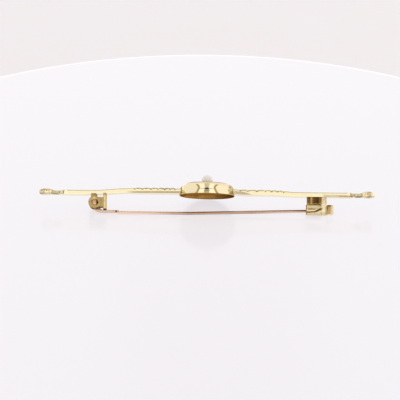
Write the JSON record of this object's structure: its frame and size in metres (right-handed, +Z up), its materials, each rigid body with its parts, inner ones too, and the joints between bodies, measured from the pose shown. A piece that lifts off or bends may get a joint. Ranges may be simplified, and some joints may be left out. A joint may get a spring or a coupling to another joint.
{
  "type": "bar brooch",
  "caption": "Slim gold bar brooch with an open-backed domed boss, a pearl, leaf-chased shoulders, a riveted pin and a rolled safety catch, lying tipped as it rests.",
  "frame": {"origin": "on the table that the brooch lies on, at the middle of its bounding box seen from above", "axes": "+X along the bar, with the hinge towards -X and the catch towards +X; +Z up from the table; the pearl leans towards +Y"},
  "size_m": [0.064, 0.0092, 0.0074],
  "materials": {
    "yellow_gold": null,
    "catch_gold": "yellow gold, a little duller from handling",
    "rose_gold": "drawn and polished rose gold",
    "rivet_gold": "rose gold wire with hammered ends",
    "pearl": "lustrous greyish white nacre"
  },
  "bodies": {
    "brooch": {"brooch_body": "yellow_gold", "pearl": "pearl", "hinge_rivet": "rivet_gold"},
    "pin": {"pin": "rose_gold"},
    "rotor": {"catch_rotor": "catch_gold"}
  },
  "joints": [
    {"name": "pin_hinge", "type": "hinge", "parent": "brooch", "child": "pin", "pos_m": [-0.02135, -0.00126, 0.00186], "axis": [0, 0.8097, -0.5869], "range_deg": [0, 120]},
    {"name": "catch_turn", "type": "hinge", "parent": "brooch", "child": "rotor", "pos_m": [0.0204, -0.00178, 0.00113], "axis": [1, 0, 0], "range_deg": [0, 90]}
  ]
}
